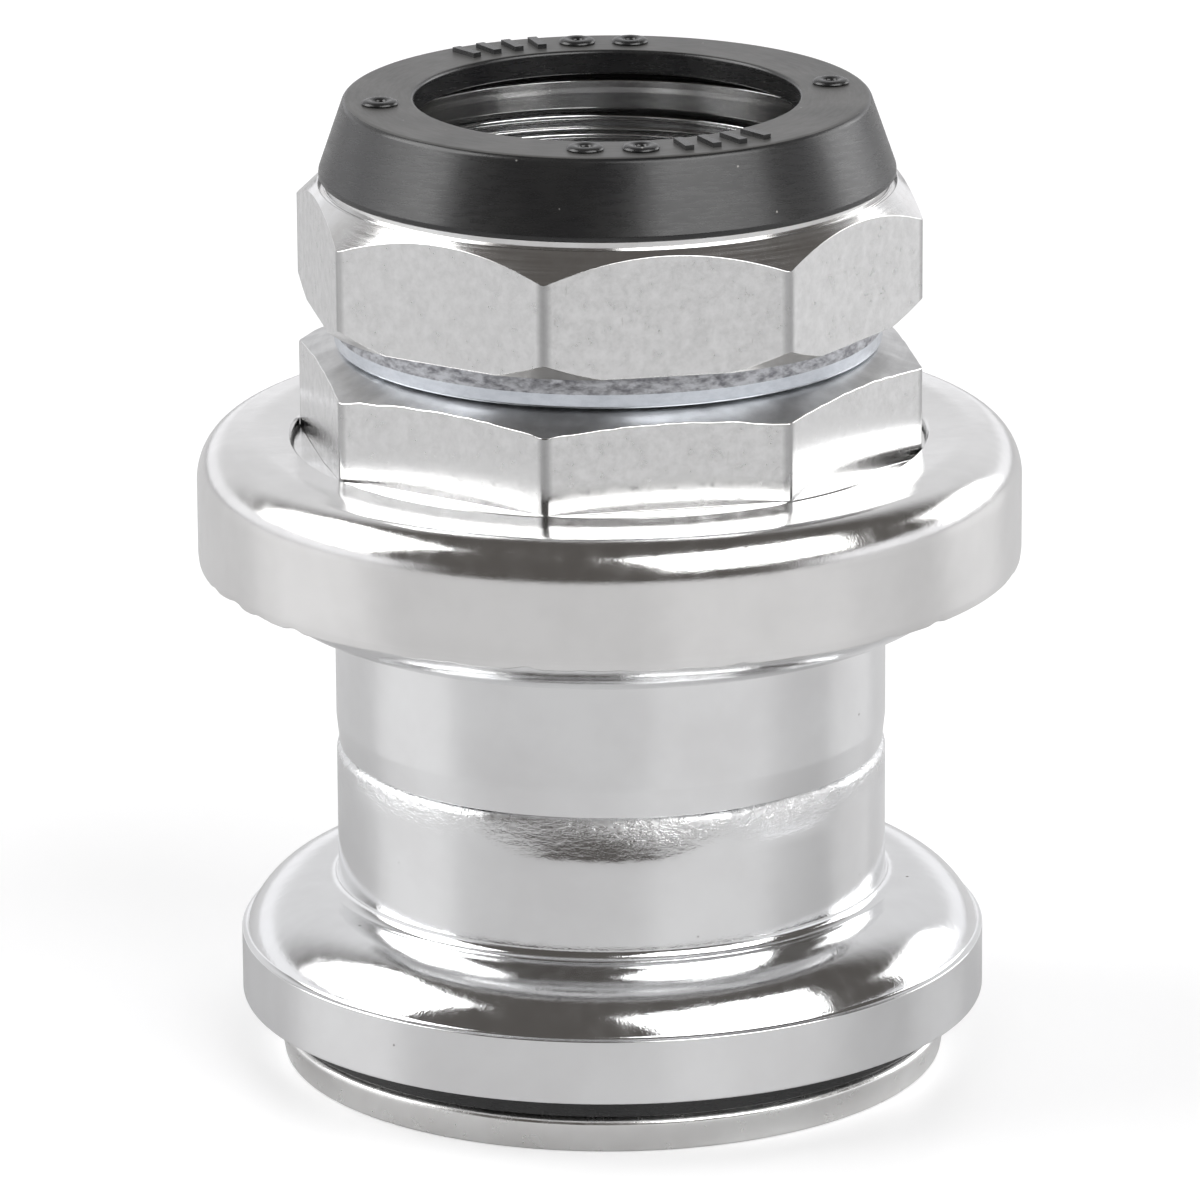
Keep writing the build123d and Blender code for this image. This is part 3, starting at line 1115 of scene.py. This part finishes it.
@dataclass
class AdjustingRace:
    """Screwed race: cone, flange and a low octagon with a shallow top chamfer."""

    octagon: Octagon = Octagon()
    track: BallTrack = BallTrack()
    cone_radius: float = 16.6
    flange_radius: float = 18.0
    flange_height: float = 1.0
    collar_radius: float = 17.25
    collar_low: float = 0.3
    collar_high: float = 0.88
    collar_facing: float = 0.25
    collar_blend: float = 0.4
    land_fall: float = 0.2
    octagon_height: float = 6.15
    crown_radius: float = 14.4
    chamfer_angle: float = 18.8
    chamfer_rise: float = 0.8
    chamfer_reach: float = 1.2
    bore_radius: float = 12.72
    thread_inset: float = 0.25
    burr: Waviness = Waviness(0.16, 130.0, 21)

    def collar_height(self, angle: float) -> float:
        """Height of the ring round the octagon's foot, which sinks from the front to the sides."""
        facing = math.cos(angle - towards_camera(0))
        share = min(1.0, max(0.0, (facing - self.collar_facing) / self.collar_blend))
        return self.collar_low + (self.collar_high - self.collar_low) * share

    def outline(self, angle: float) -> list[Corner]:
        """Outline at an angle."""
        top = high_of("adjusting_race")
        seat = top - self.octagon_height
        ball_height = high_of("upper_head_cup") - HeadCup.ball_depth
        cone = list(reversed(self.track.corners(ball_height, 135)))
        wall = self.octagon.radius(angle)
        edge = top - (wall - self.crown_radius) * math.tan(math.radians(self.chamfer_angle))
        return [
            Corner(self.bore_radius, cone[0].height, 0.2),
            *cone,
            Corner(self.cone_radius, cone[-1].height + self.land_fall, 0.12),
            Corner(self.cone_radius, seat - self.flange_height, 0.2),
            Corner(self.flange_radius, seat - self.flange_height, 0.1),
            Corner(self.flange_radius, seat, 0.1),
            Corner(self.collar_radius, seat, 0.02),
            Corner(self.collar_radius, seat + self.collar_height(angle), 0.1),
            Corner(wall, seat + self.collar_height(angle) + 0.02, 0.05),
            Corner(wall, edge + self.burr.at(angle) * 0.5, 0.09),
            Corner(self.crown_radius, top, 0.3),
            Corner(self.bore_radius + 0.35, top, 0.08),
            Corner(self.bore_radius, top - 0.35, 0.05),
        ]

    def finish_of(self, middle: Vector, normal: Vector) -> int:
        """Material index of a face: 1 for the wrench flats, 2 for the top chamfer and 0 elsewhere."""
        if on_flats(middle, normal):
            return 1
        edge = high_of("adjusting_race") - self.chamfer_reach
        return 2 if normal.z > self.chamfer_rise and middle.z > edge else 0

    def build(self, wardrobe: Wardrobe) -> None:
        """Builds and dresses the race and its thread."""
        piece = turn_ring("adjusting_race_turning", self.outline, self.octagon.angles(), 4)
        paint_faces(piece, self.finish_of)
        materials = [wardrobe.turned, wardrobe.flats, wardrobe.matt]
        dress(piece, materials, Body.ADJUSTER, ["adjusting_race"])
        low = low_of("adjusting_race") + self.thread_inset
        high = high_of("adjusting_race") - self.thread_inset
        thread = Thread("adjusting_race_thread", low, high).build(wardrobe.thread)
        dress(thread, [wardrobe.thread], Body.ADJUSTER)


@dataclass
class DustCover:
    """Pressed cover with a soft shoulder and a torn lower edge."""

    band_radius: float = 22.52
    sheet: float = 1.0
    shoulder_width: float = 1.9
    shoulder_height: float = 2.4
    crest_radius: float = 19.4
    crest_fall: float = 0.12
    dish: float = 0.1
    seat_radius: float = 18.2
    hole_radius: float = 17.3
    wall: Waviness = Waviness(0.05, 11.0, 5)
    tear: Waviness = Waviness(0.3, 110.0, 6)
    quarter: tuple[Corner, ...] = tuple(arc((0.0, 0.0), 1.0, 3, 86, 24))
    stations: int = 480

    def outline(self, angle: float) -> list[Corner]:
        """Outline at an angle."""
        low, top = low_of("dust_cover"), high_of("dust_cover")
        outer = self.band_radius + self.wall.at(angle)
        inner = self.band_radius - self.sheet
        base = top - self.crest_fall - self.shoulder_height
        width, height = self.shoulder_width, self.shoulder_height
        outside = [Corner(outer + width * (c.radius - 1), base + height * c.height) for c in self.quarter]
        width, height = width - self.sheet, height - self.sheet
        inside = [Corner(inner + width * (c.radius - 1), base + height * c.height) for c in self.quarter]
        edge = low + max(0.0, self.tear.at(angle))
        return [
            Corner(inner, low, 0.08),
            Corner(outer - 0.05, edge, 0.14),
            Corner(outer, low + 0.5, 0.3),
            *outside,
            Corner(self.crest_radius, top, 6.0),
            Corner(self.hole_radius + 0.15, top - self.dish, 0.1),
            Corner(self.hole_radius, top - self.dish - 0.15, 0.1),
            Corner(self.hole_radius, top - self.sheet, 0.1),
            Corner(self.seat_radius, top - self.sheet, 0.2),
            *reversed(inside),
        ]

    def build(self, wardrobe: Wardrobe) -> None:
        """Builds and dresses the cover."""
        piece = turn_ring("dust_cover_pressing", self.outline, even_angles(self.stations))
        dress(piece, [wardrobe.cover], Body.ADJUSTER, ["dust_cover"])


@dataclass
class LockWasher:
    """Thick blanked washer, smooth where it was sheared and rough where it tore, with its key."""

    radius: float = 14.9
    bore_radius: float = 12.85
    sheared_height: float = 0.78
    torn_depth: float = 0.05
    key_width: float = 3.0
    key_depth: float = 1.2
    key_blend: float = 0.02
    rim_width: float = 0.4
    tear: Waviness = Waviness(0.03, 300.0, 31)
    torn_rows: int = 12

    def bore(self, angle: float) -> float:
        """Radius of the bore, less the key at the back."""
        turn = abs((angle - towards_camera(180) + math.pi) % (2 * math.pi) - math.pi)
        half = math.asin(self.key_width / 2 / self.bore_radius)
        return self.bore_radius - self.key_depth if turn < half else self.bore_radius

    def outline(self, angle: float) -> list[Corner]:
        """Outline at an angle."""
        low, high = low_of("lock_washer"), high_of("lock_washer")
        bore = self.bore(angle)
        first, last = low + self.sheared_height, high - 0.08
        torn = []
        for row in range(self.torn_rows):
            level = first + (last - first) * (row + 1) / self.torn_rows
            depth = self.torn_depth * (row + 1) / self.torn_rows - self.tear.at(angle, level * 3.3)
            torn.append(Corner(self.radius - max(0.0, depth), level))
        return [
            Corner(bore, low, 0.08),
            Corner(self.radius, low, 0.16),
            Corner(self.radius - 0.01, first),
            *torn,
            Corner(self.radius - self.torn_depth - 0.1, high),
            Corner(bore, high, 0.08),
        ]

    def build(self, wardrobe: Wardrobe) -> None:
        """Builds and dresses the washer."""
        half = math.degrees(math.asin(self.key_width / 2 / self.bore_radius))
        sides = (half - self.key_blend, half + self.key_blend)
        key = [towards_camera(180 + way * side) for way in (-1, 1) for side in sides]
        angles = sorted({a % (2 * math.pi) for a in [*even_angles(900), *key]})
        piece = turn_ring("lock_washer_blank", self.outline, angles)
        # The torn band gets the darker zinc, which also paints the shade under the locknut.
        first = low_of("lock_washer") + self.sheared_height
        rim = self.radius - self.rim_width
        paint_faces(piece, lambda middle, _: int(middle.z > first and math.hypot(middle.x, middle.y) > rim))
        dress(piece, [wardrobe.sheared, wardrobe.torn], Body.WASHER, ["lock_washer"])


@dataclass
class Locknut:
    """Octagonal locknut with a steep crown chamfer, a foot chamfer and the seal's collar."""

    octagon: Octagon = Octagon()
    height: float = 6.85
    crown_radius: float = 15.7
    chamfer_angle: float = 44.0
    foot_radius: float = 16.34
    lip_radius: float = 15.35
    lip_height: float = 0.4
    collar_radius: float = 13.6
    collar_bore: float = 12.75
    collar_depth: float = 0.5
    bore_radius: float = 12.72
    thread_foot: float = 0.2
    thread_head: float = 0.32
    least_bevel: float = 0.05

    def outline(self, angle: float) -> list[Corner]:
        """Outline at an angle."""
        low, top = low_of("locknut"), high_of("locknut")
        crown = low + self.height
        wall = self.octagon.radius(angle)
        foot = max(wall - self.foot_radius, self.least_bevel)
        edge = crown - (wall - self.crown_radius) * math.tan(math.radians(self.chamfer_angle))
        return [
            Corner(self.bore_radius + 0.4, low, 0.08),
            Corner(wall - foot, low, 0.04),
            Corner(wall, low + foot, 0.05),
            Corner(wall, edge, 0.07),
            Corner(self.crown_radius, crown, 0.06),
            Corner(self.lip_radius, crown - 0.12, 0.04),
            Corner(self.lip_radius, crown + self.lip_height, 0.05),
            Corner(self.collar_radius, crown + self.lip_height, 0.05),
            Corner(self.collar_radius, top, 0.12),
            Corner(self.collar_bore, top, 0.18),
            Corner(self.collar_bore, top - self.collar_depth, 0.05),
            Corner(self.bore_radius, top - self.collar_depth - 0.3, 0.05),
            Corner(self.bore_radius, low + 0.4, 0.05),
        ]

    def build(self, wardrobe: Wardrobe) -> None:
        """Builds and dresses the nut and its thread."""
        piece = turn_ring("locknut_turning", self.outline, self.octagon.angles(), 4)
        paint_faces(piece, lambda middle, normal: int(on_flats(middle, normal)))
        dress(piece, [wardrobe.turned, wardrobe.flats], Body.NUT, ["locknut"])
        low = low_of("locknut") + self.thread_foot
        high = high_of("locknut") - self.collar_depth - self.thread_head
        thread = Thread("locknut_thread", low, high).build(wardrobe.thread)
        dress(thread, [wardrobe.thread], Body.NUT)


@dataclass
class TopSeal:
    """Rubber seal with raised bars and studs on its flat top."""

    base_radius: float = 15.64
    top_radius: float = 14.24
    hole_radius: float = 10.42
    lip: float = 1.35
    bore_radius: float = 13.62
    mark_circle: float = 12.35
    mark_height: float = 0.26
    mark_root: float = 0.1
    mark_step: float = 13.6
    bar_length: float = 1.9
    bar_width: float = 0.5
    stud_radius: float = 0.66
    stud_wall: float = 0.34
    sharp_above: float = 40.0
    # Which faces get the painted sheen: how far their normal points up and how far below the top they lie.
    sheen_face_rise: float = 0.85
    sheen_face_reach: float = 0.2

    def outline(self, angle: float) -> list[Corner]:
        """Outline at an angle."""
        low, top = low_of("top_seal"), high_of("top_seal")
        return [
            Corner(self.bore_radius, low, 0.08),
            Corner(self.base_radius, low, 0.12),
            Corner(self.base_radius - 0.02, low + 0.3, 0.3),
            Corner(self.top_radius, top, 0.42),
            Corner(self.hole_radius, top, 0.22),
            Corner(self.hole_radius, top - self.lip, 0.15),
            Corner(self.bore_radius, top - self.lip, 0.2),
        ]

    def bar(self, grower: Grower) -> Node:
        """Makes one radial bar in a tree."""
        sizes = (
            ("Bar width", self.bar_width),
            ("Bar length", self.bar_length),
            ("Bar height", self.mark_height + self.mark_root),
        )
        axes = {axis: grower.size(name, value * MM) for axis, (name, value) in enumerate(sizes)}
        return grower.add("GeometryNodeMeshCube", {"Size": grower.add("ShaderNodeCombineXYZ", axes)})

    def stud(self, grower: Grower) -> Node:
        """Makes one round stud with a dimple in a tree."""
        circles = []
        for name, radius, steps in (("Stud radius", self.stud_radius, 28), ("Stud wall", self.stud_wall, 14)):
            feeds = {"Resolution": steps, "Radius": grower.size(name, radius * MM)}
            circles.append(grower.add("GeometryNodeCurvePrimitiveCircle", feeds, mode="RADIUS"))
        swept = {"Curve": circles[0], "Profile Curve": circles[1]}
        flat = (1, 1, (self.mark_height + self.mark_root) / (2 * self.stud_wall))
        tube = grower.add("GeometryNodeCurveToMesh", swept)
        return grower.add("GeometryNodeTransform", {"Geometry": tube, "Scale": flat})

    def marks(
        self,
        name: str,
        shape: Callable[[Grower], Node],
        first: float,
        count: int,
        step: float,
        material: Material,
    ) -> Piece:
        """Grows one row of marks round the top face.

        Args:
            name: Name of the piece.
            shape: Makes one mark in the tree.
            first: Azimuth of the first mark.
            count: Number of marks.
            step: Degrees from each mark to the next.
            material: Material of the marks.

        Returns:
            The marks as one piece.
        """
        grower = Grower(name)
        row = {"Offset": (0, 0, 0), "Count": grower.size("Count", count)}
        line = grower.add("GeometryNodeMeshLine", row, mode="OFFSET")
        index = grower.add("GeometryNodeInputIndex")
        step_angle = grower.size("Step angle", math.radians(step))
        first_angle = grower.size("First angle", towards_camera(first))
        angle = grower.math("MULTIPLY_ADD", index, step_angle, first_angle)
        circle = grower.size("Mark circle", self.mark_circle * MM)
        level = high_of("top_seal") + (self.mark_height - self.mark_root) / 2
        axes = {
            0: grower.math("MULTIPLY", grower.math("COSINE", angle), circle),
            1: grower.math("MULTIPLY", grower.math("SINE", angle), circle),
            2: grower.size("Level", level * MM),
        }
        spots = {"Geometry": line, "Position": grower.add("ShaderNodeCombineXYZ", axes)}
        heading = {2: grower.math("SUBTRACT", angle, math.pi / 2)}
        spread = {
            "Points": grower.add("GeometryNodeSetPosition", spots),
            "Rotation": grower.add("ShaderNodeCombineXYZ", heading),
            "Instance": shape(grower),
        }
        piece = grower.grow(grower.add("GeometryNodeInstanceOnPoints", spread), material)
        piece.data.set_sharp_from_angle(angle=math.radians(self.sharp_above))
        return piece

    def build(self, wardrobe: Wardrobe) -> None:
        """Builds and dresses the seal and its marks."""
        seal = turn_ring("top_seal_moulding", self.outline, even_angles(256), 7)
        # The flat top gets the lighter rubber, a painted sheen.
        edge = high_of("top_seal") - self.sheen_face_reach
        paint_faces(seal, lambda middle, normal: int(normal.z > self.sheen_face_rise and middle.z > edge))
        dress(seal, [wardrobe.rubber, wardrobe.painted_sheen], Body.NUT, ["top_seal"])
        rows = (
            ("front_studs", self.stud, -5.4, 2, self.mark_step),
            ("front_bars", self.bar, 19.0, 4, self.mark_step / 2),
            ("back_studs", self.stud, 173.9, 2, self.mark_step),
            ("back_bars", self.bar, 198.0, 4, self.mark_step / 2),
            ("side_studs", self.stud, -81.2, 2, 182.0),
        )
        for name, shape, first, count, step in rows:
            marks = self.marks(f"top_seal_{name}", shape, first, count, step, wardrobe.rubber)
            dress(marks, [wardrobe.rubber], Body.NUT)


# Studio


@dataclass(frozen=True)
class Softbox:
    """Lamp with a white front that mirrors as a bright panel."""

    name: str
    azimuth: float
    elevation: float
    width: float
    height: float
    radiance: float
    distance: float = 1.2

    def build(self, target: Vector) -> None:
        """Hangs the lamp.

        Args:
            target: Point that it faces, in metres.
        """
        azimuth, elevation = math.radians(self.azimuth), math.radians(self.elevation)
        away = Vector(
            (
                math.sin(azimuth) * math.cos(elevation),
                -math.cos(azimuth) * math.cos(elevation),
                math.sin(elevation),
            )
        )
        lamp = bpy.data.lights.new(self.name, "AREA")
        lamp.shape = "RECTANGLE"
        lamp.size = 2 * self.distance * math.tan(math.radians(self.width / 2))
        lamp.size_y = 2 * self.distance * math.tan(math.radians(self.height / 2))
        lamp.energy = self.radiance * math.pi * lamp.size * lamp.size_y
        holder = placed(self.name, lamp)
        holder.location = target + away * self.distance
        holder.rotation_mode = "QUATERNION"
        holder.rotation_quaternion = (-away).to_track_quat("-Z", "Y")
        holder.visible_camera = False
        log.info("%s: %.2f W", self.name, lamp.energy)


@dataclass
class Studio:
    """White floor, dim room, softboxes and the camera."""

    target: Vector = field(default_factory=lambda: Vector((0.0, 0.0, 0.026)))
    floor_radius: float = 6.0
    floor_colour: Colour = (0.625, 0.625, 0.63)
    floor_gloss: float = 0.12
    floor_roughness: float = 0.38
    floor_lift: float = 0.45
    room_colour: Colour = (0.105, 0.098, 0.092)
    sweep_colour: Colour = (0.76, 0.76, 0.77)
    horizon_colour: Colour = (1.0, 1.0, 1.02)
    horizon_band: tuple[float, float] = (0.27, 0.17)
    sweep_band: tuple[float, float] = (0.30, 0.80)
    front_band: tuple[float, float] = (-0.75, -0.35)
    camera_distance: float = 0.490
    camera_elevation: float = 16.79
    camera_roll: float = -0.391
    camera_aim: Vector = field(default_factory=lambda: Vector((-0.000556, 0.0, 0.025492)))
    focal_px: float = 8934.7
    softboxes: tuple[Softbox, ...] = (
        Softbox("left_softbox", -92.0, 35.0, 43.0, 42.0, 4.0),
        Softbox("right_softbox", 44.0, 38.5, 50.0, 39.0, 3.8),
        Softbox("rear_softbox", 121.0, 18.0, 32.0, 26.0, 2.4),
    )

    def floor(self) -> None:
        """Lays the white floor, which keeps the object's shadow."""
        count = 96
        radius = self.floor_radius
        ring = [(radius * math.cos(a), radius * math.sin(a), 0.0) for a in even_angles(count)]
        mesh = bpy.data.meshes.new("floor")
        mesh.from_pydata(ring, [], [tuple(range(count))])
        piece = placed("floor", mesh)
        bench = Bench("white_floor")
        seen = bench.add("ShaderNodeLightPath").outputs["Is Camera Ray"]
        feeds = {
            "Base Color": (*self.floor_colour, 1),
            "Roughness": self.floor_roughness,
            "Specular IOR Level": self.floor_gloss,
            "Emission Color": (1, 1, 1, 1),
            "Emission Strength": bench.math("MULTIPLY", seen, self.floor_lift),
        }
        bench.feed(bench.shader, feeds)
        piece.data.materials.append(bench.material)

    def room(self) -> None:
        """Sets the world: white to the camera, a pale sweep behind and low, a dim room elsewhere."""
        world = bpy.data.worlds.new("room")
        bpy.context.scene.world = world
        world.use_nodes = True
        nodes = Nodes(world.node_tree)
        place = nodes.add("ShaderNodeTexCoord").outputs["Generated"]
        _, y, z = nodes.add("ShaderNodeSeparateXYZ", {0: place}).outputs
        back = nodes.mix(nodes.share(y, *self.sweep_band), self.room_colour, self.sweep_colour)
        low = nodes.share(z, *self.horizon_band)
        glow = nodes.math("MULTIPLY", low, nodes.share(y, *self.front_band))
        around = nodes.mix(glow, back, self.horizon_colour)
        seen = nodes.add("ShaderNodeLightPath").outputs["Is Camera Ray"]
        shown = nodes.mix(seen, around, (1.0, 1.0, 1.0))
        nodes.feed(nodes.tree.nodes["Background"], {"Color": shown, "Strength": 1.0})

    def camera(self) -> None:
        """Places the camera at the photograph's viewing angle."""
        data = bpy.data.cameras.new("camera")
        data.sensor_width = SENSOR_WIDTH_MM
        data.lens = self.focal_px * SENSOR_WIDTH_MM / PICTURE_WIDTH_PX
        data.clip_start, data.clip_end = 0.01, 50.0
        elevation = math.radians(self.camera_elevation)
        look = Vector((0, math.cos(elevation), -math.sin(elevation)))
        holder = placed("camera", data)
        holder.location = self.camera_aim - look * self.camera_distance
        holder.rotation_mode = "QUATERNION"
        roll = Quaternion((0, 0, 1), math.radians(self.camera_roll))
        holder.rotation_quaternion = look.to_track_quat("-Z", "Y") @ roll
        bpy.context.scene.camera = holder

    def build(self) -> None:
        """Builds the whole studio."""
        self.floor()
        self.room()
        for softbox in self.softboxes:
            softbox.build(self.target)
        self.camera()
        bpy.context.scene.view_settings.view_transform = "Standard"


def main() -> None:
    """Builds every sub-assembly."""
    logging.basicConfig(level=logging.INFO, format="%(name)s %(message)s")
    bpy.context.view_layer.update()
    wardrobe = Wardrobe()
    HeadCup("lower_head_cup", upper=False).build(wardrobe)
    HeadCup("upper_head_cup", upper=True).build(wardrobe)
    CrownRace().build(wardrobe)
    BallBearing("lower", Body.LOWER_CAGE).build(wardrobe)
    BallBearing("upper", Body.UPPER_CAGE).build(wardrobe)
    AdjustingRace().build(wardrobe)
    DustCover().build(wardrobe)
    LockWasher().build(wardrobe)
    Locknut().build(wardrobe)
    TopSeal().build(wardrobe)
    Studio().build()


if __name__ == "__main__":
    main()
